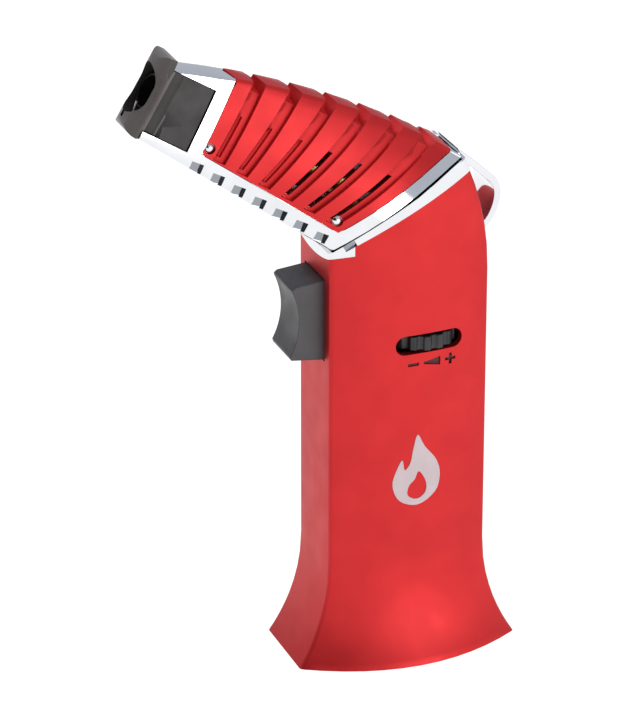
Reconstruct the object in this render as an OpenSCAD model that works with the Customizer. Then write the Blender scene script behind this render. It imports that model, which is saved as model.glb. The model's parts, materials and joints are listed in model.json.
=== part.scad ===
// Lampwork torch: a hand-held butane jet torch with an angled, vented head.
// +Z is up, the nozzle points toward -X, and the gas control faces -Y.
// The origin is the centre of the face that the torch stands on. Millimetres.

/* [Handle] */
// Half of the handle's depth above the flare, front to back
handle_half_depth = 19.6; // [18:0.1:21]
// Half of the width of the flat front and back faces
face_half_w = 9.5; // [8.5:0.1:10.5]
// How far the curved sides stand out beyond the flat faces
side_bulge = 2.5; // [1:0.1:4]
// Height at which the flared foot meets the straight handle
waist_z = 26; // [20:1:32]
// How far the foot spreads at the front and at the back
foot_spread = 7.8; // [5:0.1:10]
// Radius of the long edges of the handle and the head
corner_r = 0.8; // [0.4:0.1:1.2]
// Wall thickness of the two handle shells
shell_wall = 1.8; // [1.4:0.1:2.2]

/* [Head] */
// Height at which the handle's axis meets the head's axis
elbow_z = 115.4; // [113:0.1:118]
// Angle of the head's axis above the horizontal
head_tilt = 31; // [29:0.5:33]
// Distance from the elbow to the front of the head frame
frame_end_u = 65; // [62:0.5:68]
// Distance of the burner's axis below the head's axis
burner_drop = 4.7; // [4:0.1:5.5]

/* [Vents] */
// Number of sloping channels pressed into the cover
channel_count = 6; // [4:1:6]
// Width of each channel
channel_w = 3.1; // [2.5:0.1:3.5]
// Depth of each channel
channel_depth = 0.9; // [0.5:0.1:1.1]
// Width of the open slots and of the blind ones
slot_w = 1.5; // [1.2:0.1:1.8]

/* [Trigger] */
// Half of the trigger's width
trigger_half_w = 6; // [5:0.1:6.2]
// Lowest point of the trigger's opening
trigger_z0 = 76.3; // [75:0.1:77]
// Highest point of the trigger's opening
trigger_z1 = 96.7; // [95:0.1:97]
// Depth of the hollow that the finger rests in
finger_hollow = 1.9; // [1:0.1:2.5]

/* [Gas control] */
// Radius of the gas wheel
wheel_r = 8.6; // [8:0.1:9]
// Number of grip ribs round the wheel
wheel_ribs = 16; // [12:1:24]
// Height of the middle of the wheel
wheel_z = 79.7; // [79:0.1:80]

/* [Hidden] */

$fn = 48;
eps = 0.01;
big = 200;

red = [0.80, 0.12, 0.13];
chrome = [0.86, 0.87, 0.90];
dark_grey = [0.22, 0.21, 0.22];
warm_grey = [0.33, 0.30, 0.29];
brass = [0.80, 0.62, 0.28];
steel = [0.70, 0.71, 0.73];
nylon = [0.90, 0.89, 0.84];
black = [0.07, 0.07, 0.08];

mitre = (90 - head_tilt) / 2;
foot_r = (waist_z * waist_z + foot_spread * foot_spread) / (2 * foot_spread);
foot_corner_growth = 1.3;
foot_bulge_growth = 6;
lean_z = 95;
lean_r = 63;
side_steps = 12;
handle_levels = [-2, 0, 1.5, 3, 5, 7.5, 10, 13, 16.5, 20.5, waist_z, lean_z, 101, 106, 111, 116, 121, 130];

// ---------- Handle outline ----------

// Share of the foot's full spread at height z: 1 at the ground, 0 at the waist
function flare(z) =
    z >= waist_z ? 0
    : (foot_r - sqrt(foot_r * foot_r - pow(waist_z - max(z, 0), 2))) / foot_spread;
// The back leans forward along an arc above lean_z
function lean(z) = z <= lean_z ? 0 : (z - lean_z) * (z - lean_z) / (2 * lean_r);
function half_depth(z) = handle_half_depth + foot_spread * flare(z);
function corner_w(z) = face_half_w + foot_corner_growth * flare(z);
function bulge(z) = side_bulge + foot_bulge_growth * flare(z);
// Half width at height z, at share t from the front face (0) to the back face (1)
function handle_y(z, t) = corner_w(z) + bulge(z) * 4 * t * (1 - t);
// Half width of the straight handle at position x
function side_y(x) = handle_y(50, (x + handle_half_depth) / (2 * handle_half_depth));

// A corner c rounded between the points a and b
function rounded(a, c, b) = a == b ? [c]
    : [for (t = [0 : 0.25 : 1]) (1 - t) * (1 - t) * a + 2 * t * (1 - t) * c + t * t * b];
// Corner radius of a skin shrunk by inset: only outer skins are rounded
function edge_r(inset) = inset < 0.6 ? corner_r - inset : 0;

// One horizontal outline of the handle, shrunk by inset
function handle_ring(z, inset) =
    let (
        x0 = -half_depth(z) + inset,
        x1 = half_depth(z) - lean(z) - inset,
        r = edge_r(inset),
        tr = r / (x1 - x0),
        y0 = handle_y(z, 0) - inset,
        yr = handle_y(z, tr) - inset,
        side = [for (k = [1 : side_steps - 1]) k / side_steps]
    )
    concat(
        rounded([x0, r - y0, z], [x0, -y0, z], [x0 + r, -yr, z]),
        [for (t = side) [x0 + (x1 - x0) * t, inset - handle_y(z, t), z]],
        rounded([x1 - r, -yr, z], [x1, -y0, z], [x1, r - y0, z]),
        rounded([x1, y0 - r, z], [x1, y0, z], [x1 - r, yr, z]),
        [for (t = side) [x1 + (x0 - x1) * t, handle_y(z, t) - inset, z]],
        rounded([x0 + r, yr, z], [x0, y0, z], [x0, y0 - r, z])
    );

// Solid through a list of rings that all have the same number of points
module skin(rings) {
    n = len(rings[0]);
    last = (len(rings) - 1) * n;
    walls = [
        for (i = [0 : len(rings) - 2], k = [0 : n - 1])
        for (tri = [
            [i * n + k, i * n + (k + 1) % n, (i + 1) * n + k],
            [i * n + (k + 1) % n, (i + 1) * n + (k + 1) % n, (i + 1) * n + k]
        ]) [tri[2], tri[1], tri[0]]
    ];
    bottom = [for (k = [0 : n - 1]) k];
    top = [for (k = [n - 1 : -1 : 0]) last + k];
    polyhedron(points = [for (r = rings) each r], faces = concat(walls, [bottom], [top]));
}

module handle_solid(inset = 0, z0 = -2) {
    skin([for (z = handle_levels) if (z >= z0) handle_ring(z, inset)]);
}

// ---------- Head outline, in the head's own frame ----------
// u runs along the head toward the nozzle, v is up from its axis, y is across.

side_rows = 8;
head_stations = [-20, -12, -8, -5, -2, 1, 4, 8, 14, 21, 28, 35, 42, 49, 56, 66];
top_arch = 0.0022;
top_peak_u = -5;
top_peak_v = 13.3;
front_bottom_v = -14.5;
bottom_slope = 0.0815;
front_bottom_w = 5.8;
bottom_widening = 0.069;
top_w = 4;
elbow_fairing = 5.2;
ridge_h = 0.8;

function top_v(u) = top_peak_v - top_arch * pow(max(u - top_peak_u, 0), 2);
function bottom_v(u) = front_bottom_v - (frame_end_u - u) * bottom_slope;
function top_half_w(u) = top_w + elbow_fairing * pow(min(max(6 - u, 0), 14) / 14, 2);
function bottom_half_w(u) = front_bottom_w + (frame_end_u - u) * bottom_widening;
// Height of the low ridge along the middle of the top
function ridge(u) = ridge_h * min(max((u + 8) / 9, 0), 1);
function head_bulge(u) = 5 * pow(min(max(frame_end_u - u, 0) / frame_end_u, 1), 1.5);
// Half width at station u, at share s of the way from the bottom edge to the top edge
function head_y(u, s) =
    bottom_half_w(u) * (1 - s) + top_half_w(u) * s + head_bulge(u) * 4 * s * (1 - s);
// Half width at station u and height v
function head_y_at(u, v) = head_y(u, (v - bottom_v(u)) / (top_v(u) - bottom_v(u)));

function head_ring(u, inset) =
    let (
        v0 = bottom_v(u) + inset,
        v1 = top_v(u) - inset,
        r = edge_r(inset),
        sr = r / (v1 - v0),
        w0 = head_y(u, 0) - inset,
        w1 = head_y(u, 1) - inset,
        wa = head_y(u, sr) - inset,
        wb = head_y(u, 1 - sr) - inset,
        rows = [for (k = [1 : side_rows - 1]) k / side_rows]
    )
    concat(
        rounded([u, r - w0, v0], [u, -w0, v0], [u, -wa, v0 + r]),
        [for (s = rows) [u, inset - head_y(u, s), v0 + (v1 - v0) * s]],
        rounded([u, -wb, v1 - r], [u, -w1, v1], [u, r - w1, v1]),
        [[u, 0, v1 + ridge(u)]],
        rounded([u, w1 - r, v1], [u, w1, v1], [u, wb, v1 - r]),
        [for (s = rows) [u, head_y(u, 1 - s) - inset, v1 + (v0 - v1) * s]],
        rounded([u, wa, v0 + r], [u, w0, v0], [u, w0 - r, v0])
    );

module head_solid(inset = 0, u_end = 66) {
    stations = [for (u = head_stations) if (u < u_end) u];
    rings = concat([for (u = stations) head_ring(u, inset)], [head_ring(u_end, inset)]);
    skin([for (i = [len(rings) - 1 : -1 : 0]) rings[i]]);
}

// Places its children in the head's frame: local X along the head, local Z up from it
module at_head() {
    translate([0, 0, elbow_z]) rotate([0, head_tilt, 0]) rotate([0, 0, 180]) children();
}

// Places its children with local Z along the burner, local X upward, starting at station u
module at_burner(u) {
    at_head() translate([u, 0, -burner_drop]) rotate([0, 90, 0]) rotate([0, 0, 180]) children();
}

// Everything on the head's side of the mitre, in the head's frame
module head_side(gap) {
    rotate([0, -mitre, 0]) translate([gap, -big / 2, -big / 2]) cube(big);
}

// Extrudes an outline of [u, v] points right across the head
module across_head(points) {
    rotate([90, 0, 0]) linear_extrude(height = big, center = true) polygon(points);
}

// Everything above the lower edge of the trim collar, in the torch's own frame
trim_edge_z = 112.65;
trim_edge_slope = 26.4;
chin_r = 33;
chin_z = 101.5;
module above_trim_plane(drop = 0) {
    translate([0, 0, trim_edge_z - drop]) rotate([0, -trim_edge_slope, 0])
        translate([-big / 2, -big / 2, 0]) cube(big);
}
module above_trim_edge(drop = 0) {
    above_trim_plane(drop);
    translate([-big / 2 - 14, 0, chin_z + chin_r]) rotate([0, 90, 0])
        cylinder(r = chin_r + drop, h = big, center = true, $fn = 96);
}

// ---------- Swept wires, hoses and springs ----------

function unit(v) = v / norm(v);
function tangent(p, i) = unit(p[min(i + 1, len(p) - 1)] - p[max(i - 1, 0)]);
function sweep_ring(p, i, r, sides, ref) =
    let (t = tangent(p, i), a = unit(cross(t, ref)), b = cross(t, a))
    [for (k = [0 : sides - 1]) p[i] + r * (a * cos(360 * k / sides) + b * sin(360 * k / sides))];
module sweep(p, r, sides, ref = [0, 1, 0]) {
    skin([for (i = [len(p) - 1 : -1 : 0]) sweep_ring(p, i, r, sides, ref)]);
}
// Smooth curve through hand-placed points
function curve_at(a, b, c, d, t) =
    0.5 * (2 * b + (c - a) * t + (2 * a - 5 * b + 4 * c - d) * t * t + (3 * b - a - 3 * c + d) * t * t * t);
function smooth(p, steps) = concat(
    [for (i = [0 : len(p) - 2], k = [0 : steps - 1])
        curve_at(p[max(i - 1, 0)], p[i], p[i + 1], p[min(i + 2, len(p) - 1)], k / steps)],
    [p[len(p) - 1]]
);
module coil_spring(r, wire_r, h, turns) {
    steps = turns * 10;
    sweep([for (i = [0 : steps])
        [r * cos(360 * i / 10), r * sin(360 * i / 10), wire_r + (h - 2 * wire_r) * i / steps]],
        wire_r, 5, [0, 0, 1]);
}

module ring(r_out, r_in, h) {
    difference() {
        cylinder(r = r_out, h = h);
        translate([0, 0, -1]) cylinder(r = r_in, h = h + 2);
    }
}

module rounded_box(x, y, z, r) {
    translate([-x / 2 + r, -y / 2, 0]) cube([x - 2 * r, y, z]);
    translate([-x / 2, -y / 2 + r, 0]) cube([x, y - 2 * r, z]);
    for (sx = [-1, 1], sy = [-1, 1])
        translate([sx * (x / 2 - r), sy * (y / 2 - r), 0]) cylinder(r = r, h = z);
}

// ---------- Handle shells ----------

// Where the shells' locating pins sit, as [x, z]
pin_places = [[-15.4, 30], [15.4, 30], [-15.4, 64], [15.4, 64], [-15.2, 99.7]];
pin_r = 1.2;
pin_boss_r = 2.2;
pin_fit = 0.1;
base_plate_z1 = 2.2;
base_screw_x = 18.5;
base_screw_y = 5;
slot_x = 4.15;
slot_half_len = 8.4;
slot_half_h = 2.35;
mark_depth = 0.45;
mark_stroke = 0.75;
mark_half = 1.35;
marks_z = 74.7;

module along_y(x, z, y0, y1, r) {
    translate([x, y0, z]) rotate([-90, 0, 0]) cylinder(r = r, h = y1 - y0);
}

// One half of the handle: side is -1 for the left shell and +1 for the right shell
module shell_half(side) {
    difference() {
        intersection() {
            handle_solid();
            translate([-big / 2, side < 0 ? -big : 0, 0]) cube(big);
        }
        difference() {
            handle_solid(shell_wall);
            for (p = pin_places)
                along_y(p[0], p[1], side < 0 ? -big / 2 : 0, side < 0 ? 0 : big / 2, pin_boss_r);
            translate([side * base_screw_x, side * base_screw_y, base_plate_z1 - eps])
                cylinder(r = 2.4, h = 8);
        }
        translate([0, 0, -3]) linear_extrude(height = base_plate_z1 + 3)
            polygon([for (p = handle_ring(0, 3.1)) [p[0], p[1]]]);
        above_trim_edge(0.05);
        translate([-big - 14, -trigger_half_w - 0.35, trigger_z0])
            cube([big, 2 * trigger_half_w + 0.7, trigger_z1 - trigger_z0]);
        translate([side * base_screw_x, side * base_screw_y, -1]) cylinder(r = 0.8, h = 9);
    }
}

module slot_outline(grow = 0) {
    h = slot_half_h + grow;
    straight = slot_half_len - slot_half_h;
    translate([slot_x - straight, wheel_z - h]) square([2 * straight, 2 * h]);
    for (sx = [-1, 1]) translate([slot_x + sx * straight, wheel_z]) circle(r = h);
}

// Cuts or raises a flat outline, drawn as x and z, on the left side of the handle
module on_left_side(y_in, y_out) {
    translate([0, -y_in, 0]) rotate([90, 0, 0]) linear_extrude(height = y_out - y_in) children();
}

module minus_mark() square([2 * mark_half, mark_stroke], center = true);

module plus_mark() {
    minus_mark();
    square([mark_stroke, 2 * mark_half], center = true);
}

module wedge_mark() polygon([[-2.1, -0.25], [2.1, -1.1], [2.1, 1.1], [-2.1, 0.25]]);

// Cuts an outline into the left side at x, as deep as mark_depth where the side stands lowest
module engrave(x, half_w) {
    low = min(side_y(x - half_w), side_y(x + half_w));
    on_left_side(low - mark_depth, 20) translate([x, marks_z]) children();
}

module handle_shell_left() color(red) {
    difference() {
        shell_half(-1);
        on_left_side(6, 20) slot_outline();
        engrave(0.15, mark_half) minus_mark();
        engrave(4.85, 2.1) wedge_mark();
        engrave(9.55, mark_half) plus_mark();
    }
    for (p = pin_places) along_y(p[0], p[1], -3, 2.5, pin_r);
}

module handle_shell_right() color(red) difference() {
    shell_half(1);
    for (p = pin_places) along_y(p[0], p[1], -1, 3, pin_r + pin_fit);
}

module base_plate() color(dark_grey) difference() {
    translate([0, 0, 0.6]) linear_extrude(height = base_plate_z1 - 0.65)
        polygon([for (p = handle_ring(0, 3.25)) [p[0], p[1]]]);
    translate([0, 0, -1]) cylinder(r = 3.7, h = 5);
    for (s = [-1, 1]) translate([s * base_screw_x, s * base_screw_y, -1]) {
        cylinder(r = 1.1, h = 5);
        cylinder(r = 2, h = 2);
    }
}

module base_screws() color(steel) for (s = [-1, 1])
    translate([s * base_screw_x, s * base_screw_y, 0]) difference() {
        union() {
            translate([0, 0, 0.6]) cylinder(r1 = 1.5, r2 = 1.9, h = 0.35);
            translate([0, 0, 0.95]) cylinder(r = 1.9, h = 0.05);
            translate([0, 0, 0.9]) cylinder(r = 0.79, h = 7);
        }
        for (a = [0, 90]) rotate([0, 0, a]) translate([-1, -0.2, 0]) cube([2, 0.4, 0.85]);
    }

// Outline of the flame printed on the left side, as x and z from its own centre
flame_x = 1.2;
flame_z = 47.2;
flame_outer = [
    [0.2, 9.6], [2, 6.4], [5, 2.4], [6, -1.6], [4.8, -5.8], [0.4, -8.4], [-4.2, -6.8], [-6, -2.6],
    [-5, 1.2], [-3.6, 3.6], [-3, 1], [-1.6, 2.6], [-0.9, 6]
];
flame_inner = [[0.6, 0.2], [2.4, -2.8], [2.2, -5.6], [0, -6.9], [-2.2, -5.6], [-1.9, -3.2], [-0.5, -1.8]];
function closed_smooth(p, steps) = let (n = len(p))
    [for (i = [0 : n - 1], k = [0 : steps - 1])
        curve_at(p[(i + n - 1) % n], p[i], p[(i + 1) % n], p[(i + 2) % n], k / steps)];
module flame_outline() translate([flame_x, flame_z]) difference() {
    polygon(closed_smooth(flame_outer, 4));
    polygon(closed_smooth(flame_inner, 4));
}
module flame_mark() color("white") difference() {
    intersection() {
        handle_solid(-0.12);
        on_left_side(5, 20) flame_outline();
    }
    handle_solid();
}

// ---------- Fuel tank and valves ----------

tank_x = 26;
tank_y = 16;
tank_z0 = 9;
tank_z1 = 66;
tank_wall = 1.4;
tank_r = 3;
valve_x = 4.5;
valve_y = -4;
fill_r = 2.9;
outlet_r = 2.55;

module tank_body() color(nylon) difference() {
    translate([0, 0, tank_z0]) rounded_box(tank_x, tank_y, tank_z1 - tank_z0, tank_r);
    translate([0, 0, tank_z0 + 2])
        rounded_box(tank_x - 2 * tank_wall, tank_y - 2 * tank_wall, big, tank_r - tank_wall);
    cylinder(r = fill_r + 0.02, h = tank_z0 + 4);
}

module tank_cap() color(nylon) difference() {
    union() {
        translate([0, 0, tank_z1]) rounded_box(tank_x, tank_y, 3, tank_r);
        translate([0, 0, tank_z1 - 2])
            rounded_box(tank_x - 2 * tank_wall, tank_y - 2 * tank_wall, 2 + eps, tank_r - tank_wall);
    }
    translate([valve_x, valve_y, tank_z1 - 3]) cylinder(r = outlet_r + 0.02, h = 10);
    for (x = chassis_screw_x) translate([x, chassis_screw_y, tank_z1]) cylinder(r = 0.8, h = 9);
}

module fill_valve_body() color(brass) difference() {
    union() {
        translate([0, 0, 0.6]) cylinder(r = 3.5, h = tank_z0 - 0.6);
        translate([0, 0, 5]) cylinder(r = fill_r, h = 9);
    }
    cylinder(r = 1.75, h = 2.4);
    translate([0, 0, 2]) cylinder(r = 0.88, h = 5);
    translate([0, 0, 6]) cylinder(r = 2.2, h = 9);
}

module fill_valve_seal() color(black) translate([0, 0, 6]) ring(2.19, 0.95, 0.98);

module fill_valve_stem() color(steel) {
    translate([0, 0, 2.6]) cylinder(r = 0.8, h = 7.4);
    translate([0, 0, 7]) cylinder(r = 1.85, h = 0.8);
}

module fill_valve_spring() color(steel) translate([0, 0, 7.8]) coil_spring(1.5, 0.25, 5.1, 4);

module fill_valve_retainer() color(brass) translate([0, 0, 13]) ring(2.2, 1.1, 1);

module at_valve(z) {
    translate([valve_x, valve_y, z]) children();
}

module outlet_valve_body() color(brass) difference() {
    union() {
        at_valve(58) cylinder(r = outlet_r, h = 12);
        at_valve(tank_z1 + 3) cylinder(r = 4.4, h = 2.6, $fn = 6);
    }
    at_valve(57) cylinder(r = 1.2, h = 4);
    at_valve(60) cylinder(r = 0.4, h = 3);
    at_valve(61.5) cylinder(r = 2.1, h = 20);
}

bonnet_z = tank_z1 + 5.6;
bonnet_neck_r = 2;
module valve_bonnet() color(brass) difference() {
    union() {
        at_valve(68.4) cylinder(r = 2.09, h = bonnet_z - 68.4 + eps);
        at_valve(bonnet_z) cylinder(r = 3.6, h = wheel_z - 2 - bonnet_z);
        at_valve(bonnet_z) cylinder(r = bonnet_neck_r, h = 82 - bonnet_z);
        at_valve(74.4) rotate([0, 90, 0]) cylinder(r = 0.78, h = 6.6);
    }
    at_valve(60) cylinder(r = 1.07, h = 30);
    at_valve(74.4) rotate([0, 90, 0]) cylinder(r = 0.4, h = 9);
}

module valve_seal() color(black) at_valve(61.5) cylinder(r = 1.6, h = 1.18);

module valve_stem() color(steel) {
    at_valve(62.7) cylinder(r = 1.8, h = 1.2);
    at_valve(63) cylinder(r = 1, h = 22.2);
    at_valve(84.2) cylinder(r = 2.8, h = 1);
}

module valve_spring() color(steel) at_valve(63.9) coil_spring(1.6, 0.25, 4.5, 5);

module gas_wick() color("ivory") at_valve(13) cylinder(r = 1.2, h = 45);

wheel_h = 3.4;
module gas_wheel() color(black) difference() {
    at_valve(wheel_z - wheel_h / 2) cylinder(r = wheel_r, h = wheel_h, $fn = 96);
    at_valve(wheel_z - 5) cylinder(r = bonnet_neck_r + 0.05, h = 10);
    for (k = [0 : wheel_ribs - 1])
        at_valve(wheel_z - 5) rotate([0, 0, 360 * k / wheel_ribs + 4])
            translate([wheel_r + 0.35, 0, 0]) cylinder(r = 1.05, h = 10, $fn = 24);
    for (k = [0 : 5])
        at_valve(wheel_z) rotate([0, 0, 60 * k]) translate([5, 0, 0]) cylinder(r = 1.5, h = 5);
}

hose_r = 1.3;
hose_route = [
    [9, -4, 74.4], [11.4, -4, 74.4], [14.3, -3.4, 75.6], [15.5, -2.6, 79.5], [15.4, -1.8, 86], [15, -0.8, 93],
    [14, 0, 99], [10.6, 0, 103.6], [5, 0, 107.4], [-2.42, 0, 111.37], [-5.42, 0, 113.17], [-8.33, 0, 114.93]
];
module gas_hose() color(black) difference() {
    sweep(smooth(hose_route, 3), hose_r, 10);
    at_valve(74.4) rotate([0, 90, 0]) cylinder(r = 0.79, h = 6.7);
    at_burner(jet_u - 0.2) cylinder(r = 0.79, h = 5);
}

// ---------- Chassis, lever, trigger and igniter ----------

chassis_screw_x = [1, 9];
chassis_screw_y = 5.9;
lever_pivot_x = 11.6;
lever_pivot_z = 83.1;
lever_nose_x = -8;
piezo_z = 91.5;
piezo_x0 = -3;
piezo_x1 = 12.6;

module chassis() color(nylon) difference() {
    union() {
        translate([-2, 4.9, tank_z1 + 3]) cube([14.6, 1.7, 27.6]);
        translate([-2, 4.05, 87]) cube([14.6, 1, 9.6]);
        translate([-2, -5.2, 86.3]) cube([14.6, 10.2, 0.85]);
        translate([2, -3, 95.85]) cube([6, 8, 0.8]);
        translate([-2, 4.9, tank_z1 + 3]) cube([14.6, 2.4, 1.8]);
        for (y = [-8.5, 0]) translate([10.6, y, 81.8]) cube([2, 0.8, 5]);
        translate([10.6, -8.5, 86.3]) cube([2, 5, 0.85]);
    }
    at_valve(80) cylinder(r = 3.5, h = 10);
    along_y(lever_pivot_x, lever_pivot_z, -10, 2, 0.62);
    for (x = chassis_screw_x) translate([x, chassis_screw_y, tank_z1 + 2]) cylinder(r = 0.85, h = 5);
    for (x = chassis_screw_x) translate([x, chassis_screw_y, tank_z1 + 4.8]) cylinder(r = 1.7, h = 6);
}

module chassis_screws() color(steel) for (x = chassis_screw_x)
    translate([x, chassis_screw_y, tank_z1 + 0.1]) {
        cylinder(r = 0.79, h = 4.8);
        translate([0, 0, 4.7]) cylinder(r = 1.5, h = 1);
    }

module valve_lever() color(steel) difference() {
    union() {
        translate([lever_nose_x, -7.3, 82.4]) cube([lever_pivot_x - lever_nose_x, 6.6, 1.4]);
        along_y(lever_nose_x, 83.1, -6.4, -1.6, 0.9);
        along_y(lever_pivot_x, lever_pivot_z, -7.3, -0.7, 1.2);
    }
    along_y(lever_pivot_x, lever_pivot_z, -10, 2, 0.63);
    translate([2.2, valve_y - 1.4, 80]) cube([5.6, 2.8, 6]);
}

module lever_pin() color(steel) along_y(lever_pivot_x, lever_pivot_z, -8.6, 0.9, 0.6);

face_x = -handle_half_depth;
trigger_front_x = -27.6;
hollow_half = 8;
hollow_r = (hollow_half * hollow_half + finger_hollow * finger_hollow) / (2 * finger_hollow);
trigger_mid_z = 87;
ramp_x = -9.8;

module trigger() color(dark_grey) difference() {
    union() {
        translate([0, trigger_half_w, 0]) rotate([90, 0, 0]) linear_extrude(height = 2 * trigger_half_w)
            difference() {
                polygon([
                    [-14.5, trigger_z0 + 0.35], [face_x, trigger_z0 + 0.35], [trigger_front_x, 77.6],
                    [trigger_front_x - 0.3, 78.6], [trigger_front_x + 0.2, 95], [trigger_front_x + 1, 95.6],
                    [face_x, trigger_z1 - 0.35], [-10, trigger_z1 - 0.35], [-10, 86.8], [-14.5, 86.8]
                ]);
                translate([trigger_front_x + finger_hollow - hollow_r, trigger_mid_z])
                    circle(r = hollow_r, $fn = 120);
            }
        translate([-17.4, -7.3, 75.4]) cube([1.6, 14.6, 21.6]);
        translate([0, -2.2, 0]) rotate([90, 0, 0]) linear_extrude(height = 3.6)
            polygon([[-15, 78], [ramp_x, 78], [ramp_x, 82.4], [-15, 84.48]]);
    }
    for (y = [-4.6, 1.8]) translate([-24.5, y, 88.2]) cube([20, 2.8, 6.8]);
    translate([-24.5, -0.5, 78.6]) cube([20, 5.1, 7.2]);
}

module piezo_body() color(nylon) difference() {
    translate([piezo_x0, -4, 87.2]) cube([piezo_x1 - piezo_x0, 8, 8.6]);
    translate([piezo_x0 - 1, -3.4, 87.9]) cube([13, 6.8, 7.2]);
    translate([piezo_x1 - 2, 0, piezo_z]) rotate([0, 90, 0]) cylinder(r = 0.7, h = 3);
}

module piezo_plunger() color([0.25, 0.25, 0.27]) {
    translate([-9.9, -3.1, 88.2]) cube([11.9, 6.2, 6.6]);
    translate([-10, -1.5, piezo_z - 1.5]) cube([0.2, 3, 3]);
}

module piezo_spring() color(steel) translate([2, 0, piezo_z]) rotate([0, 90, 0]) coil_spring(2.2, 0.3, 7, 5);

wire_r = 0.6;
wire_route = [
    [12, 0, piezo_z], [12.8, 0.05, piezo_z], [13.5, 1.2, piezo_z + 1], [14, 2.7, 94.5], [13, 3.4, 98.6],
    [8, 4, 103.5],
    [1, 4.4, 107.6], [-7, 4.2, 110.6], [-14, 3.2, 112.9], [-20.4, 1.2, 115.4], [-24.36, 0, 117.56],
    [-27.7, 0, 119.57], [-31.17, 0, 121.65]
];
module ignition_wire() color("white") sweep(smooth(wire_route, 3), wire_r, 8);

// ---------- Head ----------

// Outline of the opening that the cover fills, shrunk by i
function cover_outline(i) = [
    [50.2 - i, 30], [50.2 - i, -10.9 + 0.8 * i], [49.2 - 0.8 * i, -11.7 + i],
    [14 + 0.3 * i, -14.25 + i], [12.3 + 0.8 * i, -13.95 + i], [11.3 + 1.1 * i, -12.95 + 0.3 * i],
    [-15.2 + 1.18 * i, 30]
];
// Outline of the hole inside the ledge that carries the cover
ledge_opening = [[47, 30], [47, -8.6], [14.1, -11], [-11.4, 30]];
// Lower and upper ends of channel k's centre line
function channel_foot(k) = [45.6 - 6.1 * k, -11.6 - 0.1 * k];
function channel_head(k) = [44.6 - 8.62 * k, 5.75 + 1.15 * k];
function along_channel(k, v) =
    let (a = channel_foot(k), b = channel_head(k)) a + (b - a) * ((v - a[1]) / (b[1] - a[1]));
// Four corners of a strip w wide that follows channel k from height v0 to v1, moved du toward the nozzle
function strip(k, v0, v1, w, du) = [
    along_channel(k, v0) + [du - w / 2, 0], along_channel(k, v0) + [du + w / 2, 0],
    along_channel(k, v1) + [du + w / 2, 0], along_channel(k, v1) + [du - w / 2, 0]
];
slot_shift = 0.75;
closed_channels = 3;
slot_v0 = -11.2;
slot_v1 = 1.6;
// Cover screws, as [u, v]
cover_screw_places = [[48.95, -9.6], [13.9, -11.9]];
cover_wall = 1.7;
ledge_wall = 2.9;

module at_cover_screw(p, side, depth) {
    translate([p[0], side * (head_y_at(p[0], p[1]) - depth), p[1]]) rotate([-90 * side, 0, 0]) children();
}

module vent_cover() color(red) at_head() difference() {
    intersection() {
        head_solid();
        across_head(cover_outline(0.15));
    }
    difference() {
        for (k = [0 : channel_count - 1]) across_head(strip(k, channel_foot(k)[1], 18, channel_w, 0));
        head_solid(channel_depth);
    }
    difference() {
        for (k = [0 : closed_channels - 1]) across_head(strip(k, slot_v0, 0, slot_w, slot_shift));
        head_solid(channel_depth + 0.4);
    }
    head_solid(cover_wall);
    for (k = [closed_channels : channel_count - 1])
        across_head(strip(k, slot_v0, slot_v1, slot_w, slot_shift));
    for (p = cover_screw_places, side = [-1, 1]) at_cover_screw(p, side, 0.9) cylinder(r = 1.5, h = 5);
    for (p = cover_screw_places, side = [-1, 1]) at_cover_screw(p, side, 4) cylinder(r = 0.75, h = 9);
}

module cover_screws() color(chrome) at_head()
    for (p = cover_screw_places, side = [-1, 1]) at_cover_screw(p, side, 3) {
        cylinder(r = 0.6, h = 2.2);
        translate([0, 0, 2.15]) cylinder(r = 1.15, h = 0.35);
        translate([0, 0, 2.5]) intersection() {
            translate([0, 0, -0.75]) sphere(r = 1.35);
            cylinder(r = 1.12, h = 2);
        }
    }

pocket_count = 7;
pocket_pitch = 5.77;
window_u = 53.4;
window_v0 = -12.5;
window_v1 = 2.5;
frame_wall = 2.2;

module head_frame() color(chrome) at_head() difference() {
    union() {
        difference() {
            head_solid();
            translate([frame_end_u, -50, -50]) cube(100);
            head_solid(frame_wall, 70);
            across_head(cover_outline(0));
        }
        intersection() {
            difference() {
                head_solid(cover_wall + 0.05, 52);
                head_solid(ledge_wall, 60);
                across_head(ledge_opening);
            }
            across_head(cover_outline(-1));
        }
    }
    translate([window_u, -50, window_v0]) cube([20, 100, window_v1 - window_v0]);
    rotate([0, -mitre, 0]) translate([0.35 - big, -big / 2, -big / 2]) cube(big);
    for (k = [0 : pocket_count - 1], side = [-1, 1]) {
        u = 49.8 - pocket_pitch * k;
        v = -14.75 - 0.38 * k;
        translate([u, side * (head_y_at(u, v) + 1), v]) rotate([0, 5, 0]) cube([3, 4, 2.3], center = true);
    }
    for (p = cover_screw_places, side = [-1, 1]) at_cover_screw(p, side, 6) cylinder(r = 0.62, h = 9);
}

module trim_collar() color(chrome) difference() {
    union() {
        intersection() {
            difference() {
                handle_solid(-0.2, 90);
                handle_solid(shell_wall + 0.1, 80);
            }
            above_trim_edge();
        }
        intersection() {
            difference() {
                handle_solid(shell_wall + 0.05, 90);
                handle_solid(shell_wall + 1.1, 80);
            }
            above_trim_plane(1.5);
        }
    }
    at_head() head_side(0);
    for (side = [-1, 1]) translate([-15.1, side * 11.6, 105.95]) rotate([0, -28, 0])
        cube([2.9, 2.6, 1.5], center = true);
}

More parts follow.
